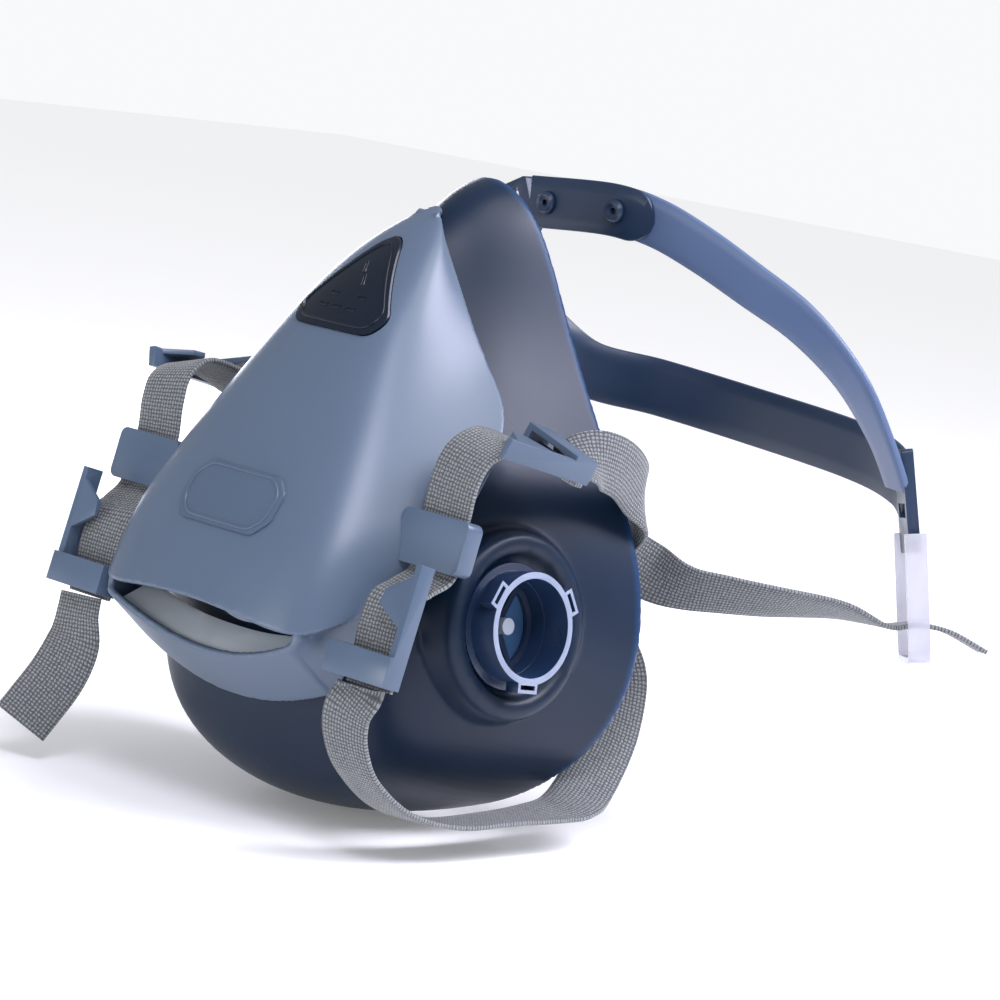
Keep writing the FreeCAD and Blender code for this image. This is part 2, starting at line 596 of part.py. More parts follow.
parts = {
    "facepiece": shell,
    "valve_cover": cover,
    "exhaust_floor": exhaust_floor().cut(cover),
    "size_badge": badge,
    "cover_emblem": emblem,
    "exhalation_seat": seat,
    "exhalation_flap": exhalation_flap(),
    "front_band": front_band,
    "rear_band": rear_band,
    "band_end": ribbon(DOUBLED_END, FRONT_BAND_WIDTH + 0.8, 1.2),
    "snap_studs": snap_studs(),
    "head_strap_left": ribbon(HEAD_STRAP_LEFT, WEB_WIDTH, WEB_THICK),
    "head_strap_right": ribbon(HEAD_STRAP_RIGHT, WEB_WIDTH, WEB_THICK),
    "neck_strap_left": ribbon(NECK_STRAP_LEFT, WEB_WIDTH, WEB_THICK),
    "neck_strap_right": ribbon(NECK_STRAP_RIGHT, WEB_WIDTH, WEB_THICK),
}
left_pieces = {
    "inhalation_port": inhalation_port(),
    "inhalation_flap": inhalation_flap(),
    "port_retainer": retainer,
    "strap_guide": guide,
    "upper_buckle": buckle_at(UPPER_PIVOT, UPPER_ALONG, UPPER_ACROSS, -1),
    "lower_buckle": buckle_at(LOWER_PIVOT, LOWER_ALONG, LOWER_ACROSS, 1),
    "side_strap": ribbon(SIDE_STRAP, WEB_WIDTH, WEB_THICK),
}
for name, shape in left_pieces.items():
    parts[name + "_left"] = shape
    parts[name + "_right"] = other_side(shape)
for side, (origin, axes) in CRADLE_ENDS.items():
    pivot, across, down, through = LINK_AXES[side]
    parts["cradle_end_" + side] = place(end_frame(), origin, *axes).cut([front_band, rear_band])
    parts["strap_link_" + side] = place(strap_link(), pivot, across, down, through)

for name, shape in parts.items():
    save(name, shape)
    if not shape.isValid():
        print(name, "is not valid")
    if len(shape.Solids) != 1:
        print(name, "has", len(shape.Solids), "solids")
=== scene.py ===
import math
import bmesh
import bpy
from mathutils import Matrix, Vector
from mathutils.bvhtree import BVHTree
from mathutils.kdtree import KDTree


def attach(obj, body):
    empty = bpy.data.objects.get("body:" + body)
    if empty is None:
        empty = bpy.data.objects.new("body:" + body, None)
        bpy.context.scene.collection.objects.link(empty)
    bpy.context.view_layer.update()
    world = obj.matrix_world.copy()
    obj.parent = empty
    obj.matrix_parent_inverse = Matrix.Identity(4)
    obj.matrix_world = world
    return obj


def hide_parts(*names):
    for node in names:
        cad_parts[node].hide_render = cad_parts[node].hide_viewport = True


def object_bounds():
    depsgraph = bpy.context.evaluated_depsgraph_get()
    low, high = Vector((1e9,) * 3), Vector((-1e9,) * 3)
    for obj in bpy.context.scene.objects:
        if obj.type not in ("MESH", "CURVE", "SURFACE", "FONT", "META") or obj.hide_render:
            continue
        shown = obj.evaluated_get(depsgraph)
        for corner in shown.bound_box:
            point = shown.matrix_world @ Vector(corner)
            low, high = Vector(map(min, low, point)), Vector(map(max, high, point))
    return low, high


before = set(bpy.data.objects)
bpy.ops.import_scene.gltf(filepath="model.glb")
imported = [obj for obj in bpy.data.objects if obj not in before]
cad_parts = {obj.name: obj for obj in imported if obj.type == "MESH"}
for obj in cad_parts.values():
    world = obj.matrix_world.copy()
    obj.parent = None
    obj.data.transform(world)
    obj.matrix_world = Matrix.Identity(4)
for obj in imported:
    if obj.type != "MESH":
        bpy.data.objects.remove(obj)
cad_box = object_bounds()

# ---- facepiece ------------------------------------------------------------------------------
# One soft shell of liquid silicone, moulded in a heated steel tool. It rolls inwards along the
# face seal, carries a raised collar round each port, and grips the exhalation seat at the front.
MM = 0.001
SILICONE_WALL = 2.4
SEAL_RIM = [(0, -2, 81), (15, 2.5, 73), (24.5, 6.5, 51), (36, 9.8, 26), (49.5, 14.5, 2),
            (62, 18.5, -26), (63.5, 15, -62), (42, -4, -90), (0, -18, -94)]
SEAL_ROLL = [(0, -11, 78), (13, -9, 70), (21.5, -7, 50), (33.5, -6, 27), (47.5, -2, 3),
             (58.5, 4, -23), (60.5, 2, -62), (41, -15, -91), (0, -27, -97)]
CHEEK = [(0, -22, 68), (8.5, -21, 60), (17, -22, 45), (29, -22, 29), (45, -23, 6),
         (55.5, -24, -20), (57.5, -27, -58), (43, -38, -87), (0, -44, -97)]
UNDER_COVER = [(0, -33, 57), (7, -32, 50), (13, -33, 38), (24, -37, 23), (38, -43, 4),
               (48, -50, -16), (53, -58, -52), (40, -63, -78), (0, -67, -85)]
FRONT_WALL = [(0, -46, 36), (7, -46, 31), (13, -48, 23), (20, -52, 12), (28, -57, 0),
              (35, -62, -18), (35, -64, -44), (22, -65, -57), (0, -65, -61)]
EXHALE_CENTRE = Vector((0, -65, -22))
EXHALE_AXIS = Vector((0, -0.97767, 0.21014))
SEAT_EDGE_RADIUS = 19.0
PORT_CENTRE = Vector((65.0, -31.6, -31.6))
PORT_AXIS = Vector((0.9858, -0.05099, 0.15997))
COLLAR_RADIUS = 24.3
COLLAR_LIP_RADIUS = 18.8
COLLAR_RISE = 2.4
PORT_HOLE_RADIUS = 14.9
SEAL_ROUNDING = 0.9
RIM_LIGHT_REACH = 3.0
RIM_POINTS = 240


def axes_matrix(origin, z_axis, x_hint):
    """Moves a piece drawn round the Z axis, in millimetres, to its place in metres."""
    z_axis = Vector(z_axis).normalized()
    x_axis = Vector(x_hint)
    x_axis = (x_axis - z_axis * x_axis.dot(z_axis)).normalized()
    turned = Matrix((x_axis, z_axis.cross(x_axis), z_axis)).transposed().to_4x4()
    return Matrix.Scale(MM, 4) @ Matrix.Translation(origin) @ turned


PORT_PLACE = axes_matrix(PORT_CENTRE, PORT_AXIS, (0, 1, 0))
OTHER_SIDE = Matrix.Scale(-1, 4, (1, 0, 0))


def basis(index, degree, t, knots):
    """Weight of one control point of a spline at parameter t."""
    if degree == 0:
        return 1.0 if knots[index] <= t < knots[index + 1] else 0.0
    total = 0.0
    rise = knots[index + degree] - knots[index]
    fall = knots[index + degree + 1] - knots[index + 1]
    if rise > 0:
        total += (t - knots[index]) / rise * basis(index, degree - 1, t, knots)
    if fall > 0:
        total += (knots[index + degree + 1] - t) / fall * basis(index + 1, degree - 1, t, knots)
    return total


def smooth_line(points, samples, closed):
    """Points along the even cubic spline that these control points hold."""
    points = [Vector(point) for point in points]
    degree = min(3, len(points) - 1)
    if closed:
        points = points + points[:degree]
        knots = list(range(len(points) + degree + 1))
        low, high = degree, len(points)
        steps = [low + (high - low) * k / samples for k in range(samples)]
    else:
        spans = len(points) - degree
        knots = [0] * degree + list(range(spans + 1)) + [spans] * degree
        steps = [min(spans * k / (samples - 1), spans - 1e-9) for k in range(samples)]
    line = []
    for t in steps:
        weights = [basis(index, degree, t, knots) for index in range(len(points))]
        line.append(sum((point * weight for point, weight in zip(points, weights)), Vector()))
    return line


def smooth_grid(rows, row_samples, column_samples, closed):
    """A fine grid of points on the surface that the control rows hold."""
    fine = [smooth_line(row, column_samples, closed) for row in rows]
    columns = [smooth_line(column, row_samples, False) for column in zip(*fine)]
    return [list(row) for row in zip(*columns)]


def sweep(bm, rows, closed):
    """Skins rows of points by extruding the first row's edges through the others."""
    verts = [bm.verts.new(point) for point in rows[0]]
    pairs = list(zip(verts, verts[1:] + (verts[:1] if closed else [])))
    edges = [bm.edges.new(pair) for pair in pairs]
    for row in rows[1:]:
        made = set(bmesh.ops.extrude_edge_only(bm, edges=edges)["geom"])
        fresh = []
        for vert in verts:
            fresh.append(next(edge.other_vert(vert) for edge in vert.link_edges
                              if edge.other_vert(vert) in made))
        for vert, point in zip(fresh, row):
            vert.co = point
        verts = fresh
        pairs = list(zip(verts, verts[1:] + (verts[:1] if closed else [])))
        edges = [bm.edges.get(pair) for pair in pairs]
    return bm


def piece_from(bm, name):
    """Makes an object of a finished bmesh."""
    mesh = bpy.data.meshes.new(name)
    bm.to_mesh(mesh)
    bm.free()
    piece = bpy.data.objects.new(name, mesh)
    bpy.context.scene.collection.objects.link(piece)
    return piece


def with_modifier(piece, kind, **settings):
    """Adds a modifier with its settings and applies it to the mesh."""
    modifier = piece.modifiers.new(kind.lower(), kind)
    for setting, value in settings.items():
        setattr(modifier, setting, value)
    graph = bpy.context.evaluated_depsgraph_get()
    graph.update()
    applied = bpy.data.meshes.new_from_object(piece.evaluated_get(graph))
    piece.modifiers.clear()
    piece.data = applied
    return piece


def round_edges(piece, width, segments, angle):
    """Rounds the edges that are sharper than this many degrees by a width in millimetres."""
    return with_modifier(piece, "BEVEL", width=width * MM, segments=segments, limit_method="ANGLE",
                         angle_limit=math.radians(angle), profile=0.5)


def merged(name, pieces):
    """One object from several."""
    bm = bmesh.new()
    for piece in pieces:
        bm.from_mesh(piece.data)
        bpy.data.objects.remove(piece)
    return piece_from(bm, name)


def smooth_faces(piece, angle=35):
    """Smooth shading, with edges sharper than this many degrees left crisp."""
    piece.data.shade_smooth()
    piece.data.set_sharp_from_angle(angle=math.radians(angle))
    return piece


def lathe(profile, place, steps=96):
    """A closed ring turned from (radius, height) points in millimetres."""
    bm = bmesh.new()
    verts = [bm.verts.new((radius, 0, height)) for radius, height in profile]
    edges = [bm.edges.new(pair) for pair in zip(verts, verts[1:] + verts[:1])]
    bmesh.ops.spin(bm, geom=verts + edges, cent=(0, 0, 0), axis=(0, 0, 1), angle=math.tau,
                   steps=steps, use_merge=True)
    bmesh.ops.remove_doubles(bm, verts=bm.verts, dist=1e-4)
    bmesh.ops.recalc_face_normals(bm, faces=bm.faces)
    bm.transform(place)
    return bm


def round_bar(radius, low, high, place):
    """A plain round bar along Z, to cut a round hole with."""
    bm = bmesh.new()
    bmesh.ops.create_cone(bm, cap_ends=True, segments=64, radius1=radius, radius2=radius,
                          depth=high - low, matrix=Matrix.Translation((0, 0, (low + high) / 2)))
    bm.transform(place)
    return bm


def cut(piece, cutter, operation="DIFFERENCE"):
    """Cuts a piece with another object, which is then thrown away."""
    with_modifier(piece, "BOOLEAN", operation=operation, object=cutter, solver="EXACT")
    bpy.data.objects.remove(cutter)
    return piece


def melt(piece, grain):
    """Melts crossing shells into one skin of this grain in millimetres, and evens it out."""
    with_modifier(piece, "REMESH", mode="VOXEL", voxel_size=grain * MM, use_smooth_shade=True)
    with_modifier(piece, "SMOOTH", factor=0.5, iterations=6)


def settle(piece, exact, reach, share_at):
    """Moves a melted piece's points back onto the exact skin that they came from."""
    bm = bmesh.new()
    bm.from_mesh(exact)
    skin = BVHTree.FromBMesh(bm)
    bm.free()
    for vert in piece.data.vertices:
        place, _, _, gap = skin.find_nearest(vert.co)
        if gap < reach * MM:
            vert.co = vert.co.lerp(place, share_at(vert.co))
    piece.data.update()


def full_loop(half):
    """A half loop from nose to chin, closed by its mirror image."""
    return list(half) + [(-x, y, z) for x, y, z in reversed(half[1:-1])]


def exhale_loop():
    """The front loop, round the exhalation valve."""
    side = Vector((1, 0, 0))
    up = EXHALE_AXIS.cross(side)
    count = 2 * (len(SEAL_RIM) - 1)
    turns = [math.tau * index / count for index in range(count)]
    return [EXHALE_CENTRE + (side * math.sin(turn) + up * math.cos(turn)) * SEAT_EDGE_RADIUS
            for turn in turns]


def collar(place):
    """Raised silicone collar with rounded lips and a hollow round the foot of the port."""
    profile = [(PORT_HOLE_RADIUS, -11.5), (15.2, -10.2), (18.0, -9.9), (COLLAR_LIP_RADIUS, -9.0),
               (19.2, -7.6), (20.2, -7.0), (23.2, -7.0), (24.2, -7.6), (25.0, -9.5), (25.8, -17), (16, -17)]
    bm = lathe(profile, Matrix())
    for vert in bm.verts:
        reach = math.hypot(vert.co.x, vert.co.y)
        share = min(max((reach - PORT_HOLE_RADIUS) / (COLLAR_LIP_RADIUS - PORT_HOLE_RADIUS), 0), 1)
        vert.co.y += COLLAR_RISE * share
    bm.transform(place)
    return piece_from(bm, "collar")


def make_facepiece():
    """The whole silicone shell, melted into one skin."""
    loops = [full_loop(loop) for loop in (SEAL_RIM, SEAL_ROLL, CHEEK, UNDER_COVER, FRONT_WALL)]
    loops.append(exhale_loop())
    bm = sweep(bmesh.new(), smooth_grid(loops, 60, 180, True), True)
    bmesh.ops.recalc_face_normals(bm, faces=bm.faces)
    bm.transform(Matrix.Scale(MM, 4))
    shell = piece_from(bm, "shell")
    with_modifier(shell, "SOLIDIFY", thickness=SILICONE_WALL * MM, offset=-1, use_rim=True)
    round_edges(shell, SEAL_ROUNDING, 3, 60)
    exact = shell.data.copy()
    turned = PORT_PLACE @ Matrix.Rotation(math.radians(-90), 4, "Z")
    body = merged("soft_facepiece", [shell, collar(turned), collar(OTHER_SIDE @ turned)])
    bm = bmesh.new()
    bm.from_mesh(body.data)
    bmesh.ops.recalc_face_normals(bm, faces=bm.faces)
    bm.to_mesh(body.data)
    bm.free()
    melt(body, 1.02)
    from_port = PORT_PLACE.inverted()

    def away_from_ports(point):
        """None of the move inside the collar, all of it 6 mm outside."""
        local = from_port @ Vector((abs(point.x), point.y, point.z))
        return min(max((math.hypot(local.x, local.y) - COLLAR_RADIUS - 2) / 4, 0), 1)

    settle(body, exact, 1.6, away_from_ports)
    for side in (Matrix(), OTHER_SIDE):
        hole = side @ PORT_PLACE
        cut(body, piece_from(round_bar(PORT_HOLE_RADIUS, -30, 4, hole), "hole"))
    return smooth_faces(body, 50)


def linear(hex_colour):
    """An sRGB hex colour as linear values with full alpha."""
    channels = [int(hex_colour[start:start + 2], 16) / 255 for start in (1, 3, 5)]
    return [c / 12.92 if c <= 0.04045 else ((c + 0.055) / 1.055) ** 2.4 for c in channels] + [1.0]


def add_node(tree, kind, settings=None, links=None):
    """Adds one shader node with its settings, and feeds its inputs from other nodes' outputs."""
    node = tree.nodes.new(kind)
    for key, value in (settings or {}).items():
        if isinstance(key, int) or key in node.inputs:
            node.inputs[key].default_value = value
        else:
            setattr(node, key, value)
    for key, output in (links or {}).items():
        tree.links.new(output, node.inputs[key])
    return node


# Sockets of a Mix node for colours: the share of the second, the two colours, and the result.
SHARE, FIRST, SECOND, MIXED = 0, 6, 7, 2


def new_material(name, **sockets):
    """A material with one main shader and its uniform values."""
    material = bpy.data.materials.new(name)
    material.use_nodes = True
    shader = material.node_tree.nodes["Principled BSDF"]
    for socket, value in sockets.items():
        shader.inputs[socket.replace("_", " ")].default_value = value
    return material, material.node_tree, shader


def moulded(name, dark, light, patch_mm, grain_mm, grain_depth, **sockets):
    """A moulded finish: colour that drifts in broad patches, and a fine grain on the surface."""
    material, tree, shader = new_material(name, **sockets)
    place = add_node(tree, "ShaderNodeTexCoord").outputs["Object"]
    patches = add_node(tree, "ShaderNodeTexNoise", {"Scale": 1 / (patch_mm * MM), "Detail": 3.0},
                       {"Vector": place})
    colour = add_node(tree, "ShaderNodeMix", {"data_type": "RGBA", FIRST: linear(dark),
                      SECOND: linear(light)}, {SHARE: patches.outputs["Fac"]})
    grain = add_node(tree, "ShaderNodeTexNoise", {"Scale": 1 / (grain_mm * MM), "Detail": 2.0},
                     {"Vector": place})
    bump = add_node(tree, "ShaderNodeBump", {"Strength": grain_depth, "Distance": 0.05 * MM},
                    {"Height": grain.outputs["Fac"]})
    roughness = shader.inputs["Roughness"].default_value
    polish = add_node(tree, "ShaderNodeMapRange",
                      {"From Min": 0.3, "From Max": 0.7, "To Min": roughness - 0.04,
                       "To Max": roughness + 0.04}, {"Value": patches.outputs["Fac"]})
    tree.links.new(colour.outputs[MIXED], shader.inputs["Base Color"])
    tree.links.new(polish.outputs["Result"], shader.inputs["Roughness"])
    tree.links.new(bump.outputs["Normal"], shader.inputs["Normal"])
    return material


def dress(piece, material, body, node):
    """Gives a piece its material and says what it stands for."""
    piece.data.materials.clear()
    piece.data.materials.append(material)
    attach(piece, body)
    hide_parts(node)
    return piece


# Liquid silicone from a shot-blasted tool: an even satin skin, darker in the folds.
# Its rim is feathered thin, and a clear blue is painted along it as painted light, standing in for the light
# that shines through the thin edge.
silicone = moulded("satin_moulded_silicone", "#0a1a2e", "#12253c", 45, 0.5, 0.25,
                   Roughness=0.38, IOR=1.41, Specular_IOR_Level=0.4)
silicone_tree = silicone.node_tree
body_colour = silicone_tree.nodes["Principled BSDF"].inputs["Base Color"]
# Painted light on the rim: a brighter blue is mixed in where the rim attribute says so.
painted_rim_light = add_node(silicone_tree, "ShaderNodeAttribute", {"attribute_name": "painted_rim_light"})
rim_light_colour = add_node(silicone_tree, "ShaderNodeMix", {"data_type": "RGBA", SECOND: linear("#17406e")},
                     {SHARE: painted_rim_light.outputs["Fac"], FIRST: body_colour.links[0].from_socket})
silicone_tree.links.new(rim_light_colour.outputs[MIXED], body_colour)
facepiece = make_facepiece()
# The painted rim light: points near the seal rim get a share of the brighter blue, fading to none a few
# millimetres in.
rim_line = KDTree(RIM_POINTS)
for index, point in enumerate(smooth_line(full_loop(SEAL_RIM), RIM_POINTS, True)):
    rim_line.insert(point * MM, index)
rim_line.balance()
rim_light_share = facepiece.data.attributes.new("painted_rim_light", "FLOAT", "POINT")
for vert, share in zip(facepiece.data.vertices, rim_light_share.data):
    share.value = max(1 - rim_line.find(vert.co)[2] / (RIM_LIGHT_REACH * MM), 0)
dress(facepiece, silicone, "mask", "facepiece")

# ---- valve cover ----------------------------------------------------------------------------
# A rigid shell of glass-filled nylon, injection moulded, clipped over the front of the silicone.
# Its lower edge opens into a wide mouth that turns the breath downwards.
COVER_WALL = 2.0
COVER_ROWS = [[(0, -20.2, 69.6), (1.6, -20.6, 69.2), (3.2, -21.5, 68.2), (3.8, -22.5, 67), (3.4, -23.5, 66)],
              [(0, -32.5, 62.5), (7, -32, 62), (11.5, -30, 60.5), (12.3, -27.5, 59.3), (11.5, -25, 57.5)],
              [(0, -46, 50), (11, -45, 49.5), (18.5, -41.5, 48.5), (20, -33, 46.5), (20.5, -25, 44)],
              [(0, -57.5, 33), (15, -56.5, 33), (24.5, -51.5, 32), (27.5, -39, 31.5), (30.5, -25, 31)],
              [(0, -70.5, 11), (20, -69.5, 11), (31, -64, 11.5), (37, -48, 15), (43.5, -27, 20)],
              [(0, -81.5, -8), (23, -80.5, -8), (35.5, -75.5, -8), (42.5, -60, -4), (50.5, -41, 4)],
              [(0, -89, -22), (26, -88, -22.5), (39, -83.5, -22.5), (45, -68, -17), (51.5, -52, -10)],
              [(0, -94.6, -35), (22, -93, -37), (38.5, -89.5, -40), (44, -76, -34), (47, -60, -25)]]
LOWER_LIP = [(0, -85, -52), (20, -86.5, -48.5), (35, -89.2, -42)]
PANEL_EDGE = [(0, -70.6, -64.6), (20, -71.2, -61.5), (35.5, -71.5, -55)]
CHUTE_TOP = [(36.4, -87.6, -37.6), (42.4, -75.6, -32.4), (46.2, -60.8, -24.4)]
CHUTE_LOW = [(34.8, -88.4, -42.4), (35.2, -79, -49.5), (35.4, -71, -55)]
COVER_HEART = (0, -40, -10)
CHUTE_HEART = (0, -70, -38)
COVER_ROUNDING = 0.7
BADGE_OUTLINE = [(0, 60.5), (3.4, 58.5), (16.2, 39.5), (13.6, 35), (-13.6, 35), (-16.2, 39.5), (-3.4, 58.5)]
BADGE_CORNER = 2.6
WINDOW_PLAY = 0.35


def full_row(row):
    """A half row mirrored into one that runs right across the mask."""
    return [(-x, y, z) for x, y, z in reversed(row[1:])] + list(row)


cover_rows = [full_row(row) for row in COVER_ROWS]


def thin_shell(name, rows, samples, thickness, heart):
    """A sheet through control rows, with its wall on the side of the point called heart."""
    bm = sweep(bmesh.new(), smooth_grid(rows, samples[0], samples[1], False), False)
    bm.normal_update()
    middle = list(bm.faces)[len(bm.faces) // 2]
    if middle.normal.dot(Vector(heart) - middle.calc_center_median()) > 0:
        bmesh.ops.reverse_faces(bm, faces=bm.faces)
    bm.transform(Matrix.Scale(MM, 4))
    return with_modifier(piece_from(bm, name), "SOLIDIFY", thickness=thickness * MM, offset=-1,
                         use_rim=True, use_even_offset=True)


def rounded(outline, radius, grow=0):
    """An outline moved outwards by grow, with each corner rounded by a short arc."""
    centre = Vector((sum(x for x, _ in outline), sum(z for _, z in outline))) / len(outline)
    corners = []
    for x, z in outline:
        reach = Vector((x, z)) - centre
        corners.append(centre + reach * (1 + grow / reach.length))
    line = []
    count = len(corners)
    for index, corner in enumerate(corners):
        before = corners[index - 1] - corner
        after = corners[(index + 1) % count] - corner
        start = corner + before.normalized() * min(radius, before.length / 2.2)
        end = corner + after.normalized() * min(radius, after.length / 2.2)
        for k in range(7):
            t = k / 6
            line.append(tuple(start * (1 - t) ** 2 + corner * 2 * t * (1 - t) + end * t ** 2))
    return line


PRISM_START = -110
PRISM_DEPTH = 85


def front_prism(name, outline):
    """A prism through the front of the cover from an outline seen from the front."""
    bm = bmesh.new()
    face = bm.faces.new([bm.verts.new((x, PRISM_START, z)) for x, z in outline])
    bm.normal_update()
    made = bmesh.ops.extrude_face_region(bm, geom=[face], use_keep_orig=True)["geom"]
    moved = [item for item in made if isinstance(item, bmesh.types.BMVert)]
    bmesh.ops.translate(bm, vec=(0, PRISM_DEPTH, 0), verts=moved)
    bmesh.ops.recalc_face_normals(bm, faces=bm.faces)
    bm.transform(Matrix.Scale(MM, 4))
    return piece_from(bm, name)


def make_cover():
    """Shell, mouth walls and bottom panel melted into one moulding, with the badge window cut."""
    shell = thin_shell("front", cover_rows, (90, 128), COVER_WALL, COVER_HEART)
    round_edges(shell, COVER_ROUNDING, 2, 60)
    walls = [thin_shell("wall", [CHUTE_TOP, CHUTE_LOW], (12, 24), COVER_WALL, CHUTE_HEART)]
    mirrored = [[(-x, y, z) for x, y, z in row] for row in (CHUTE_TOP, CHUTE_LOW)]
    walls.append(thin_shell("wall", mirrored, (12, 24), COVER_WALL, CHUTE_HEART))
    panel = thin_shell("panel", [full_row(LOWER_LIP), full_row(PANEL_EDGE)], (16, 64), COVER_WALL,
                       CHUTE_HEART)
    round_edges(panel, COVER_ROUNDING, 2, 60)
    exact = shell.data.copy()
    body = merged("valve_cover_shell", [shell, panel] + walls)
    melt(body, 0.6)
    settle(body, exact, 1.4, lambda point: 1.0)
    with_modifier(body, "SMOOTH", factor=0.4, iterations=3)
    cut(body, front_prism("window", rounded(BADGE_OUTLINE, BADGE_CORNER, WINDOW_PLAY)))
    return smooth_faces(body, 50)


# Nylon from a lightly etched tool: satin, a slate blue-grey that pales where the light grazes it.
cover_nylon = moulded("satin_slate_nylon", "#4b5a6e", "#55657b", 60, 0.35, 0.3,
                      Roughness=0.36, IOR=1.53)
dress(make_cover(), cover_nylon, "mask", "valve_cover")

# The floor of the mouth is a paler insert that shows as a light strip inside the opening.
floor_plastic = moulded("pale_satin_polypropylene", "#c8d0da", "#d8dfe7", 30, 0.4, 0.2,
                        Roughness=0.45, IOR=1.49)


def finished_copy(node, rounding, material, body):
    """A part in the shape of its node, with its edges slightly rounded as a mould leaves them."""
    bm = bmesh.new()
    bm.from_mesh(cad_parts[node].data)
    bmesh.ops.remove_doubles(bm, verts=bm.verts, dist=1e-6)
    bmesh.ops.dissolve_limit(bm, angle_limit=math.radians(0.5), verts=bm.verts, edges=bm.edges)
    piece = piece_from(bm, node + "_moulding")
    piece.data.materials.clear()
    round_edges(piece, rounding, 2, 30)
    return dress(smooth_faces(piece, 30), material, body, node)


finished_copy("exhaust_floor", 0.15, floor_plastic, "mask")

# ---- badge and emblem -----------------------------------------------------------------------
# The badge is a glossy acetal insert snapped into the cover's window; it carries a raised border
# and a few plain bars. The emblem is a plain raised lozenge moulded as a separate insert.
BADGE_PROUD = 0.5
BADGE_DEPTH = 1.6
BADGE_MARKS = [((-1.6, 52.5), (-0.2, 49.8)), ((1.0, 49.2), (2.4, 46.6)), ((-7.5, 40.4), (-4.6, 40.4)),
               ((-2.6, 40.4), (0.3, 40.4)), ((2.4, 40.4), (5.2, 40.4)), ((-5.8, 43.6), (-3.4, 43.6)),
               ((3.8, 43.6), (6.2, 43.6))]
MARK_HALF_WIDTH = 0.35
EMBLEM_HEIGHT = -10
EMBLEM_HALF = (17, 7.5)
EMBLEM_CUT = 4.0
EMBLEM_PROUD = 0.6
EMBLEM_DEPTH = 0.9
BEAD_STEP = 0.6
outer_skin = BVHTree.FromBMesh(sweep(bmesh.new(), smooth_grid(cover_rows, 72, 96, False), False))


def on_cover(x, z, proud):
    """The point of the cover's outer face seen at (x, z) from the front, moved off it by proud."""
    place, normal, _, _ = outer_skin.ray_cast(Vector((x, PRISM_START, z)), Vector((0, 1, 0)))
    if normal.y > 0:
        normal = -normal
    return place + normal * proud


def slab(name, outline, proud, depth, rounding):
    """A slice of the cover's curved wall, cut to an outline."""
    layer = thin_shell(name, cover_rows, (72, 96), depth, COVER_HEART)
    with_modifier(layer, "DISPLACE", strength=proud * MM, mid_level=0)
    cut(layer, front_prism("outline", rounded(outline, rounding)), "INTERSECT")
    return round_edges(layer, 0.25, 3, 40)


def raised_line(name, outline, radius, proud):
    """A thin rounded bead that follows an outline on the cover."""
    points = []
    for (x0, z0), (x1, z1) in zip(outline, outline[1:] + outline[:1]):
        steps = max(int(math.hypot(x1 - x0, z1 - z0) / BEAD_STEP), 1)
        points += [on_cover(x0 + (x1 - x0) * k / steps, z0 + (z1 - z0) * k / steps, proud)
                   for k in range(steps)]
    rows = []
    count = len(points)
    for index, point in enumerate(points):
        along = (points[(index + 1) % count] - points[index - 1]).normalized()
        side = along.cross(Vector((0, -1, 0))).normalized()
        out = side.cross(along)
        rows.append([point + (side * math.cos(turn) + out * math.sin(turn)) * radius
                     for turn in (math.tau * k / 8 for k in range(8))])
    bm = sweep(bmesh.new(), rows + rows[:1], True)
    bmesh.ops.remove_doubles(bm, verts=bm.verts, dist=1e-4)
    bmesh.ops.recalc_face_normals(bm, faces=bm.faces)
    bm.transform(Matrix.Scale(MM, 4))
    return smooth_faces(piece_from(bm, name), 60)


def emblem_outline():
    """A plain lozenge whose corners are cut off."""
    half_x, half_z = EMBLEM_HALF
    corners = [(half_x, EMBLEM_CUT - half_z), (half_x, half_z - EMBLEM_CUT), (half_x - EMBLEM_CUT, half_z),
               (EMBLEM_CUT - half_x, half_z), (-half_x, half_z - EMBLEM_CUT), (-half_x, EMBLEM_CUT - half_z),
               (EMBLEM_CUT - half_x, -half_z), (half_x - EMBLEM_CUT, -half_z)]
    return [(x, z + EMBLEM_HEIGHT) for x, z in corners]


# Acetal from a mirror-polished tool: near-black navy with a clear gloss.
badge_acetal = moulded("gloss_navy_acetal", "#0a131f", "#0e1a2a", 20, 0.8, 0.08,
                       Roughness=0.26, IOR=1.48, Specular_IOR_Level=0.35)
# The same nylon as the cover, a tone darker where it is moulded as an insert.
emblem_nylon = moulded("satin_slate_nylon_insert", "#455469", "#4e5e74", 40, 0.35, 0.3,
                       Roughness=0.34, IOR=1.53)
badge_pieces = [slab("badge", BADGE_OUTLINE, BADGE_PROUD, BADGE_DEPTH + BADGE_PROUD, BADGE_CORNER),
                raised_line("rim", rounded(BADGE_OUTLINE, 3.0, -2.2), 0.35, BADGE_PROUD)]
for start, end in BADGE_MARKS:
    side = Vector((end[1] - start[1], start[0] - end[0])).normalized() * MARK_HALF_WIDTH
    corners = [(start[0] + side.x, start[1] + side.y), (end[0] + side.x, end[1] + side.y),
               (end[0] - side.x, end[1] - side.y), (start[0] - side.x, start[1] - side.y)]
    badge_pieces.append(raised_line("mark", corners, 0.22, BADGE_PROUD))
dress(smooth_faces(merged("badge_insert", badge_pieces)), badge_acetal, "mask", "size_badge")

emblem_pieces = [slab("emblem", emblem_outline(), EMBLEM_PROUD, EMBLEM_DEPTH + EMBLEM_PROUD, 1.2),
                 raised_line("emblem_rim", rounded(emblem_outline(), 2.0, -1.8), 0.4, EMBLEM_PROUD)]
dress(smooth_faces(merged("emblem_insert", emblem_pieces)), emblem_nylon, "mask", "cover_emblem")

# ---- ports and valves -----------------------------------------------------------------------
# Each port is a nylon tube with three hollow bayonet lugs, pushed through the silicone and held
# by a ring from inside. Thin silicone flaps lift off their seats as the wearer breathes.
POST_REACH = 3.2
RIM_FACE_DEPTH = 0.4
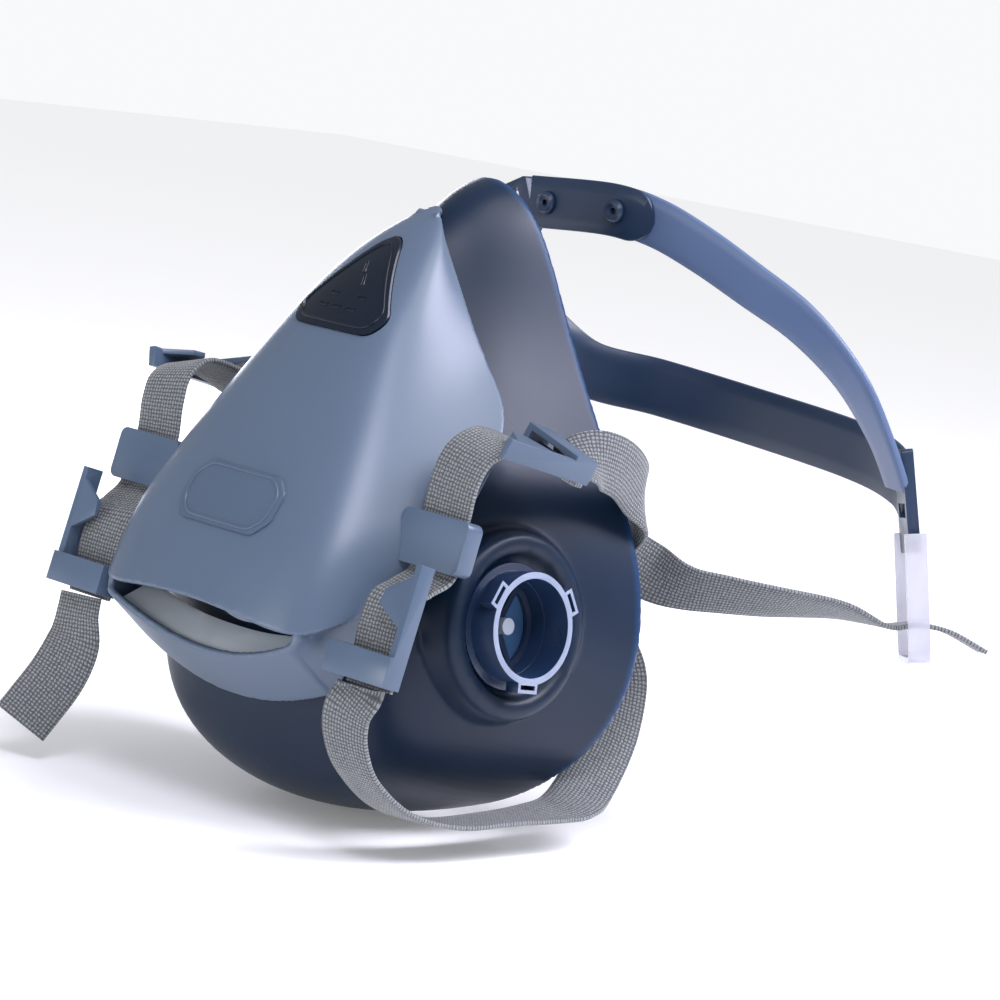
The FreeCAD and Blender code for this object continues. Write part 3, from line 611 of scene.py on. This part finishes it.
# Nylon tube from a polished tool: dark navy, with a soft shine inside the bore.
port_nylon = moulded("polished_navy_nylon", "#16263d", "#1d3050", 20, 0.5, 0.1, Roughness=0.3, IOR=1.53)
# The flat end face of the rim is given a paler grey than the tube.
rim_nylon = moulded("pale_rim_face_nylon", "#78849c", "#8e99b0", 6, 0.4, 0.3, Roughness=0.42, IOR=1.53)
# Polypropylene, smooth and slightly waxy, for the parts inside that grip the silicone.
valve_plastic = moulded("smooth_grey_polypropylene", "#8b98a8", "#98a5b4", 25, 0.5, 0.12,
                        Roughness=0.38, IOR=1.49)
# Unfilled silicone, thin enough to glow a little blue.
flap_silicone = moulded("thin_blue_silicone", "#3f628f", "#527aa8", 15, 0.6, 0.1,
                        Roughness=0.35, IOR=1.41)
# The unpainted nylon of the post that holds the flap shows pale in the middle of the tube.
post_nylon = moulded("pale_nylon_post", "#8f9aa8", "#a2acb9", 8, 0.4, 0.1, Roughness=0.4, IOR=1.53)


def paint_port(piece, place):
    """Gives the rim's flat face and the flap post their own materials."""
    to_local = place.inverted()
    corners = [to_local @ vert.co for vert in piece.data.vertices]
    piece.data.materials.append(rim_nylon)
    piece.data.materials.append(post_nylon)
    for polygon in piece.data.polygons:
        reaches = [math.hypot(corners[index].x, corners[index].y) for index in polygon.vertices]
        heights = [corners[index].z for index in polygon.vertices]
        if max(reaches) < POST_REACH:
            polygon.material_index = 2
        elif min(heights) > -RIM_FACE_DEPTH:
            polygon.material_index = 1


for side, mirror in (("left", Matrix()), ("right", OTHER_SIDE)):
    port = finished_copy("inhalation_port_" + side, 0.22, port_nylon, "mask")
    paint_port(port, mirror @ PORT_PLACE)
    finished_copy("port_retainer_" + side, 0.3, valve_plastic, "mask")
    finished_copy("inhalation_flap_" + side, 0.12, flap_silicone, "inhalation_flap_" + side)
finished_copy("exhalation_seat", 0.25, valve_plastic, "mask")
finished_copy("exhalation_flap", 0.15, flap_silicone, "exhalation_flap")

# ---- guides, buckles and links --------------------------------------------------------------
# Acetal mouldings: the guides are fixed to the cover's flanks, the buckles turn on the bars that
# the webbing pulls against, and the clear links hang on pegs in the ends of the cradle.

# Acetal from a lightly etched tool, a shade darker and a little glossier than the cover.
buckle_acetal = moulded("satin_slate_acetal", "#46566c", "#526379", 25, 0.4, 0.2, Roughness=0.32, IOR=1.48)
# Clear polycarbonate: bright, slightly milky where it is thick.
link_clear, link_tree, link_shader = new_material("clear_polycarbonate", Roughness=0.22, IOR=1.58,
                                                  Transmission_Weight=0.5)
link_place = add_node(link_tree, "ShaderNodeTexCoord").outputs["Object"]
link_haze = add_node(link_tree, "ShaderNodeTexNoise", {"Scale": 1 / (12 * MM), "Detail": 2.0},
                     {"Vector": link_place})
link_colour = add_node(link_tree, "ShaderNodeMix", {"data_type": "RGBA", FIRST: linear("#d9dae6"),
                       SECOND: linear("#e6e6f0")}, {SHARE: link_haze.outputs["Fac"]})
link_tree.links.new(link_colour.outputs[MIXED], link_shader.inputs["Base Color"])

for side in ("left", "right"):
    finished_copy("strap_guide_" + side, 0.7, buckle_acetal, "mask")
    for level in ("upper", "lower"):
        name = level + "_buckle_" + side
        finished_copy(name, 0.6, buckle_acetal, name)
    finished_copy("strap_link_" + side, 0.5, link_clear, "strap_link_" + side)

# ---- head cradle ----------------------------------------------------------------------------
# Two bands of soft polyethylene that join in a moulded frame at each end. The front band's end
# is doubled back and held by two snap studs.
BAND_THICK = 1.8
FRONT_BAND_WIDTH = 14.0
REAR_BAND_WIDTH = 17.0
END_WIDTH = 14.8
END_THICK = 1.2
FRONT_BAND = [((-28, 50, 70.5), (0, 0, 1)), ((2, 49, 72.6), (0.05, 0, 1)), ((16, 52, 71), (0.2, -0.1, 1)),
              ((30, 56, 66), (0.35, -0.15, 0.95)), ((45.5, 60, 59), (0.45, -0.2, 0.85)),
              ((61.5, 66, 50.5), (0.55, -0.3, 0.75)), ((74, 74, 38), (0.65, -0.4, 0.5)),
              ((80.5, 84, 22.5), (0.7, -0.5, 0.3)), ((84.5, 91, 9), (0.72, -0.53, 0.25))]
REAR_BAND = [((84.6, 95.8, 7), (0.1, -0.3, 1)), ((75, 101, 12), (0, -0.1, 1)), ((53, 109, 14.5), (0, 0, 1)),
             ((9, 118, 16), (0, 0, 1)), ((-22, 113, 18.5), (0, 0, 1)), ((-42, 100, 21), (0.1, 0.1, 1)),
             ((-50, 86, 32), (-0.1, 0.4, 0.9)), ((-50, 72, 46), (-0.15, 0.5, 0.8)),
             ((-47, 60, 58), (-0.3, 0.3, 0.85)), ((-44.6, 56, 63), (-0.42, 0, 0.9))]
DOUBLED_END = [((-28, 48.3, 70.5), (0, 0, 1)), ((2, 47.3, 72.6), (0.05, 0, 1)),
               ((16.4, 50.3, 71), (0.2, -0.1, 1))]


def curve_through(before, start, end, after, t):
    """A point of the smooth curve from start to end."""
    return 0.5 * (2 * start + (end - before) * t + (2 * before - 5 * start + 4 * end - after) * t ** 2
                  + (3 * start - before - 3 * end + after) * t ** 3)


def path_of(stations, step):
    """Evenly spaced places along a strap, each with its distance, direction and width direction."""
    points = [Vector(point) for point, _ in stations]
    sides = [Vector(side).normalized() for _, side in stations]
    for values in (points, sides):
        values.insert(0, 2 * values[0] - values[1])
        values.append(2 * values[-1] - values[-2])
    fine = []
    for index in range(1, len(points) - 2):
        count = max(int((points[index + 1] - points[index]).length / step), 2)
        for k in range(count + (index == len(points) - 3)):
            t = k / count
            fine.append([curve_through(*values[index - 1:index + 3], t) for values in (points, sides)])
    distance = 0.0
    places = []
    for index, (point, side) in enumerate(fine):
        ahead = fine[min(index + 1, len(fine) - 1)][0]
        behind = fine[max(index - 1, 0)][0]
        along = (ahead - behind).normalized()
        side = (side - along * side.dot(along)).normalized()
        if index:
            distance += (point - fine[index - 1][0]).length
        places.append((point, along, side, distance))
    return places


def strip(name, stations, width, thick, step, width_at=None, thick_at=None, corner=0.35):
    """A flat band with rounded edges along its stations; its UV map is in millimetres."""
    places = path_of(stations, step)
    length = places[-1][3]
    rows = []
    where = {}
    for point, along, side, distance in places:
        half = width / 2 * (width_at(distance, length) if width_at else 1)
        deep = thick / 2 * (thick_at(distance) if thick_at else 1)
        face = along.cross(side)
        soft = min(corner, deep * 0.9)
        section = [(half - soft, deep), (half * 0.5, deep), (0, deep), (-half * 0.5, deep),
                   (soft - half, deep), (-half, deep - soft), (-half, soft - deep), (soft - half, -deep),
                   (-half * 0.5, -deep), (0, -deep), (half * 0.5, -deep), (half - soft, -deep),
                   (half, soft - deep), (half, deep - soft)]
        row = [point + side * a + face * b for a, b in section]
        rows.append(row)
        for corner_point, (a, _) in zip(row, section):
            where[tuple(round(c, 5) for c in corner_point)] = (a, distance)
    bm = sweep(bmesh.new(), rows, True)
    layer = bm.loops.layers.uv.new("weave")
    ends = [edge for edge in bm.edges if edge.is_boundary]
    bmesh.ops.holes_fill(bm, edges=ends, sides=0)
    bmesh.ops.recalc_face_normals(bm, faces=bm.faces)
    for face in bm.faces:
        for loop in face.loops:
            loop[layer].uv = where.get(tuple(round(c, 5) for c in loop.vert.co), (0, 0))
    bm.transform(Matrix.Scale(MM, 4))
    return smooth_faces(piece_from(bm, name), 50)


def tongue(distance, length):
    """Width of a strip whose far end is a half circle."""
    left = length - distance
    radius = END_WIDTH / 2
    if left >= radius:
        return 1.0
    return max(math.sqrt(max(1 - ((radius - left) / radius) ** 2, 0)), 0.08)


# Polyethylene pressed in a polished tool: waxy. This lighter copy is painted light, for the front band seen
# on its lit outer side.
band_painted_lit = moulded("waxy_polyethylene_painted_lit", "#4d6083", "#5a6e92", 50, 0.8, 0.12,
                     Roughness=0.42, IOR=1.5)
# A darker copy of the same polyethylene, painted shade, for the rear band seen on its shaded inner side and
# for the parts that join the two.
band_painted_shade = moulded("waxy_polyethylene_painted_shade", "#172a43", "#1f3450", 50, 0.8, 0.12, Roughness=0.4, IOR=1.5)
dress(strip("front_head_band", FRONT_BAND, FRONT_BAND_WIDTH, BAND_THICK, 1.2), band_painted_lit, "mask",
      "front_band")
dress(strip("rear_head_band", REAR_BAND, REAR_BAND_WIDTH, BAND_THICK, 1.2), band_painted_shade, "mask",
      "rear_band")
dress(strip("doubled_band_end", DOUBLED_END, END_WIDTH, END_THICK, 0.5, width_at=tongue), band_painted_shade,
      "mask", "band_end")
for side in ("left", "right"):
    finished_copy("cradle_end_" + side, 0.4, band_painted_shade, "mask")
STUD_PLACES = [Vector((-21, 47.0, 71.0)), Vector((5, 46.5, 72.4))]
STUD_PROFILE = [(0.9, 0), (3.2, 0), (3.3, 0.4), (3.0, 1.2), (2.5, 1.6), (1.9, 1.5), (1.4, 1.1), (0.9, 0.9)]
studs = [piece_from(lathe(STUD_PROFILE, axes_matrix(place, (0, -1, 0), (1, 0, 0)), 48), "stud")
         for place in STUD_PLACES]
dress(smooth_faces(merged("band_snap_studs", studs), 45), band_painted_shade, "mask", "snap_studs")

# ---- webbing --------------------------------------------------------------------------------
# Elastic polyester webbing, woven with a rib across every millimetre or so, threaded through the
# guides, buckles and links. Each stretch is modelled flat in its real course.
WEB_WIDTH = 16.0
WEB_THICK = 1.3
WEB_PLAY = 0.1
RIB_PITCH = 1.0
RIB_DEPTH = 0.06
WARP_PITCH = 1.05
FLANK = (1, 0, 0)
# For each link: its pivot, the way across its bar, the way it hangs and the way the strap runs.
LINKS = {"left": ((89.24, 94.194, -5.501), (0.68152, -0.7197, 0.1325), (0.2199, 0.02872, -0.9751),
                  (0.69797, 0.69369, 0.17784)),
         "right": ((-53.803, 54.645, 58.892), (-0.42289, 0, 0.90618), (-0.54852, 0.79599, -0.25597),
                   (0.72132, 0.6053, 0.33661))}
STRAP_DROP = 22.5


def through_link(side, step, drop=0):
    """A strap station this far past the link's middle, with the strap square in its opening."""
    pivot, across, down, through = [Vector(values) for values in LINKS[side]]
    return tuple(pivot + down * (STRAP_DROP + drop) + through * step), tuple(across)


SIDE_STRAP = [((58.4, -21.5, 7.9), (0.95, -0.07, -0.26)), ((58.2, -26.5, 9.1), (0.95, -0.07, -0.26)),
              ((57.9, -34, 12.4), (0.95, -0.07, -0.26)), ((57.4, -42, 14.9), (0.95, -0.07, -0.26)),
              ((56.9, -49.5, 15.6), (0.95, -0.05, -0.25)), ((56.0, -56, 12.0), (0.97, 0, -0.15)),
              ((55.0, -58.6, 5.0), (0.99, 0, -0.05)), ((54.4, -59.2, -3.5), FLANK),
              ((54.6, -60.7, -11), FLANK), ((55.2, -62.3, -18.5), FLANK),
              ((54.0, -68, -22.5), FLANK), ((53.2, -73, -25.6), FLANK),
              ((53.2, -75.6, -33), FLANK), ((53.2, -76.3, -41), FLANK),
              ((53.2, -77.2, -48), FLANK)]
HEAD_STRAP_LEFT = [((59.4, -20.7, 11.1), (-0.95, 0.07, 0.26)), ((60.6, -15.5, 12), (-0.7, 0.05, 0.7)),
                   ((60.8, -8, 11.5), (-0.15, -0.05, 1)), ((59.6, 1, 9), (0, 0.1, 1)),
                   ((57.4, 9.5, 4.5), (0, 0.25, 0.95)), ((54.2, 18, -1.5), (-0.25, 0, 1)),
                   ((47.5, 23, -9), (-0.2, 0, 1)), ((43.5, 28, -17), (-0.1, 0, 1)),
                   ((46, 35, -21.5), (0, 0, 1)), ((54, 41, -24.5), (0.41, -0.33, 0.84)),
                   ((62, 49, -25), (0.51, -0.41, 0.73)), ((70, 60, -25.5), (0.59, -0.47, 0.62)),
                   ((80, 78, -26.2), (0.68, -0.56, 0.4)), through_link("left", -8),
                   through_link("left", 0), through_link("left", 9, 2),
                   through_link("left", 19, 8)]
HEAD_STRAP_RIGHT = [((-59.4, -20.7, 11.1), (0.95, 0.07, 0.26)), ((-60.6, -15.5, 12), (0.7, 0.05, 0.7)),
                    ((-60.8, -8, 12), (0.15, -0.05, 1)), ((-60.6, 4, 12), (0, 0, 1)),
                    ((-61.5, 17, 14), (0, -0.1, 1)), ((-68, 32, 21), (0, -0.4, 0.9)),
                    ((-74, 47, 32), (-0.2, -0.5, 0.8)), ((-76, 59, 43), (-0.35, -0.3, 0.9)),
                    through_link("right", -8), through_link("right", 0), through_link("right", 11)]
NECK_STRAP_LEFT = [((53.2, -80.2, -47.8), (0.99, 0.02, -0.05)), ((53.1, -80.6, -49.5), (0.99, 0, -0.05)),
                   ((51.4, -82, -55), (0.99, 0, -0.08)), ((51, -80.5, -62.5), (0.99, 0, -0.08)),
                   ((51.8, -75, -71.5), (0.98, 0, -0.05)), ((54, -63, -80.5), (0.98, 0, 0.05)),
                   ((56, -46, -84.8), (0.98, 0, 0.1)),
                   ((57, -26, -84.8), (0.98, 0, 0.1)), ((57.2, -8, -84.4), (0.97, 0.1, 0)),
                   ((57, 3, -83), (0.92, 0.35, -0.1)), ((53.5, 13.5, -78.5), (0.75, 0.6, -0.3)),
                   ((48.5, 26.5, -66), (0.5, 0.8, -0.1)),
                   ((42, 35, -54), (0.4, 0.85, 0.2)), ((33, 40, -47), (0.2, 0.5, 0.8))]
NECK_STRAP_RIGHT = [((-53.2, -80.2, -47.8), (0.99, -0.02, 0.05)), ((-52.9, -80.9, -53), (0.98, 0, -0.1)),
                    ((-52.6, -81.4, -61), (0.87, 0.25, -0.35)), ((-54.6, -83.6, -70), (0.75, 0.42, -0.48)),
                    ((-58, -87.2, -79), (0.68, 0.5, -0.53)), ((-60, -89.8, -84.5), (0.68, 0.5, -0.53))]


def rib(distance):
    """Thickness of the webbing as its ribs rise and fall."""
    return 1 + RIB_DEPTH * math.cos(math.tau * distance / RIB_PITCH)


def woven(name, dark, mid, light):
    """Ribbed webbing: ribs across, warp threads along, yarns of slightly different tones, and painted shade
    in the low places of the weave.
    """
    material, tree, shader = new_material(name, Roughness=0.85, IOR=1.5, Sheen_Weight=0.25,
                                          Sheen_Roughness=0.4)
    uv = add_node(tree, "ShaderNodeTexCoord").outputs["UV"]
    wave_per_mm = 0.314   # at this scale a band pattern repeats once in each millimetre
    ribs = add_node(tree, "ShaderNodeTexWave", {"bands_direction": "Y", "Scale": wave_per_mm / RIB_PITCH,
                    "Distortion": 2.4, "Detail": 2.0, "Detail Scale": 3.0}, {"Vector": uv})
    warps = add_node(tree, "ShaderNodeTexWave", {"bands_direction": "X", "Scale": wave_per_mm / WARP_PITCH,
                     "Distortion": 2.2, "Detail": 2.0, "Detail Scale": 3.0}, {"Vector": uv})
    yarn = add_node(tree, "ShaderNodeTexNoise", {"Scale": 1.9, "Detail": 3.0}, {"Vector": uv})
    weave = add_node(tree, "ShaderNodeMath", {"operation": "MULTIPLY"},
                     {0: ribs.outputs["Fac"], 1: warps.outputs["Fac"]})
    height = add_node(tree, "ShaderNodeMath", {"operation": "ADD"},
                      {0: weave.outputs[0], 1: yarn.outputs["Fac"]})
    tone = add_node(tree, "ShaderNodeMapRange", {"From Min": 0.35, "From Max": 0.68},
                    {"Value": yarn.outputs["Fac"]})
    base = add_node(tree, "ShaderNodeMix", {"data_type": "RGBA", FIRST: linear(mid), SECOND: linear(light)},
                    {SHARE: tone.outputs["Result"]})
    # Painted shade: the first colour darkens the low places between ribs and warp threads.
    gap = add_node(tree, "ShaderNodeMapRange", {"From Min": 0.0, "From Max": 0.45},
                   {"Value": weave.outputs[0]})
    colour = add_node(tree, "ShaderNodeMix", {"data_type": "RGBA", FIRST: linear(dark)},
                      {SHARE: gap.outputs["Result"], SECOND: base.outputs[MIXED]})
    bump = add_node(tree, "ShaderNodeBump", {"Strength": 0.55, "Distance": 0.2 * MM},
                    {"Height": height.outputs[0]})
    tree.links.new(colour.outputs[MIXED], shader.inputs["Base Color"])
    tree.links.new(bump.outputs["Normal"], shader.inputs["Normal"])
    return material


# Grey polyester over rubber cores: a dull olive grey that turns lavender where light grazes it.
# The darkest of the three colours is the painted shade between the threads.
webbing = woven("ribbed_grey_polyester", "#44484b", "#707477", "#94979a")


def mirrored_stations(stations):
    """The same course on the wearer's right."""
    return [((-point[0], point[1], point[2]), (side[0], -side[1], -side[2])) for point, side in stations]


STRAPS = {"side_strap_left": SIDE_STRAP, "side_strap_right": mirrored_stations(SIDE_STRAP),
          "head_strap_left": HEAD_STRAP_LEFT, "head_strap_right": HEAD_STRAP_RIGHT,
          "neck_strap_left": NECK_STRAP_LEFT, "neck_strap_right": NECK_STRAP_RIGHT}
for node, stations in STRAPS.items():
    strap = strip(node + "_webbing", stations, WEB_WIDTH - WEB_PLAY, WEB_THICK / (1 + RIB_DEPTH),
                  RIB_PITCH / 4, thick_at=rib, corner=0.3)
    dress(strap, webbing, "mask", node)

# ---- floor, light and camera ----------------------------------------------------------------
# A plain pale floor under the chin, a large soft light on the wearer's left, and softer fill.
FLOOR_HALF = 3.0
FLOOR_GAP = 0.0005
low_z = min(cad_box[0][2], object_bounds()[0][2])
bm = bmesh.new()
bmesh.ops.create_grid(bm, x_segments=1, y_segments=1, size=FLOOR_HALF)
bmesh.ops.translate(bm, vec=(0, 0, low_z - FLOOR_GAP), verts=bm.verts)
floor = piece_from(bm, "floor")
# Pale matt paper that is lit a little from below, so it stays nearly white.
floor_paper, floor_tree, floor_shader = new_material("pale_paper", Roughness=0.9)
floor_noise = add_node(floor_tree, "ShaderNodeTexNoise", {"Scale": 3.0})
floor_colour = add_node(floor_tree, "ShaderNodeMix", {"data_type": "RGBA", FIRST: linear("#f4f4f6"),
                        SECOND: linear("#fafafb")}, {SHARE: floor_noise.outputs["Fac"]})
floor_tree.links.new(floor_colour.outputs[MIXED], floor_shader.inputs["Base Color"])
floor_shader.inputs["Emission Color"].default_value = linear("#ffffff")
floor_shader.inputs["Emission Strength"].default_value = 0.14
floor.data.materials.append(floor_paper)

# The studio's walls look white, and light the piece at a little under half of that.
world = bpy.data.worlds.new("studio")
world.use_nodes = True
sky = world.node_tree.nodes["Background"]
sky.inputs["Color"].default_value = linear("#f8f9fb")
ray = add_node(world.node_tree, "ShaderNodeLightPath")
glow = add_node(world.node_tree, "ShaderNodeMix", {"data_type": "FLOAT", "A": 0.45, "B": 1.0},
                {SHARE: ray.outputs["Is Camera Ray"]})
world.node_tree.links.new(glow.outputs[0], sky.inputs["Strength"])
bpy.context.scene.world = world
bpy.context.scene.view_settings.view_transform = "Standard"
sun = bpy.data.lights.new("sun", "SUN")
sun.energy = 1.4
sun.angle = math.radians(40)
sun_lamp = bpy.data.objects.new("sun", sun)
sun_lamp.rotation_euler = Vector((-0.5, -0.2, -0.85)).to_track_quat("-Z", "Y").to_euler()
bpy.context.scene.collection.objects.link(sun_lamp)


def soft_light(name, place, target, size, power, colour):
    """A square studio light at a place in metres, turned to face its target."""
    light = bpy.data.lights.new(name, "AREA")
    light.shape = "SQUARE"
    light.size = size
    light.energy = power
    light.color = linear(colour)[:3]
    lamp = bpy.data.objects.new(name, light)
    lamp.location = place
    lamp.rotation_euler = (Vector(target) - Vector(place)).to_track_quat("-Z", "Y").to_euler()
    bpy.context.scene.collection.objects.link(lamp)


soft_light("key", (0.58, 0.52, 0.66), (0.02, -0.02, 0), 0.5, 10.0, "#eeecff")
soft_light("top", (0.5, -0.48, 0.76), (0.02, -0.05, -0.02), 0.3, 5.0, "#f0efff")
soft_light("rim", (-0.85, 0.5, 0.12), (0, -0.05, 0), 0.4, 4.0, "#eef0ff")
soft_light("front", (-0.1, -0.9, -0.02), (0, -0.05, -0.03), 0.4, 3.0, "#ffffff")

CAMERA_TURN = math.radians(41.15)
CAMERA_RISE = math.radians(7.72)
CAMERA_ROLL = math.radians(8.6)
CAMERA_SLIDE = (13.2, -10.9)
CAMERA_DISTANCE = 996.2
CAMERA_LENS = 130.8204
SENSOR_WIDTH = 36.0
towards = Vector((math.sin(CAMERA_TURN) * math.cos(CAMERA_RISE),
                  -math.cos(CAMERA_TURN) * math.cos(CAMERA_RISE), math.sin(CAMERA_RISE)))
level = Vector((math.cos(CAMERA_TURN), math.sin(CAMERA_TURN), 0))
upright = towards.cross(level)
right = level * math.cos(CAMERA_ROLL) + upright * math.sin(CAMERA_ROLL)
up = upright * math.cos(CAMERA_ROLL) - level * math.sin(CAMERA_ROLL)
lens = bpy.data.cameras.new("camera")
lens.lens = CAMERA_LENS
lens.sensor_width = SENSOR_WIDTH
lens.clip_start = 0.05
camera = bpy.data.objects.new("camera", lens)
camera.matrix_world = Matrix((right, up, towards)).transposed().to_4x4()
camera.location = (right * CAMERA_SLIDE[0] + up * CAMERA_SLIDE[1] + towards * CAMERA_DISTANCE) * MM
bpy.context.scene.collection.objects.link(camera)
bpy.context.scene.camera = camera
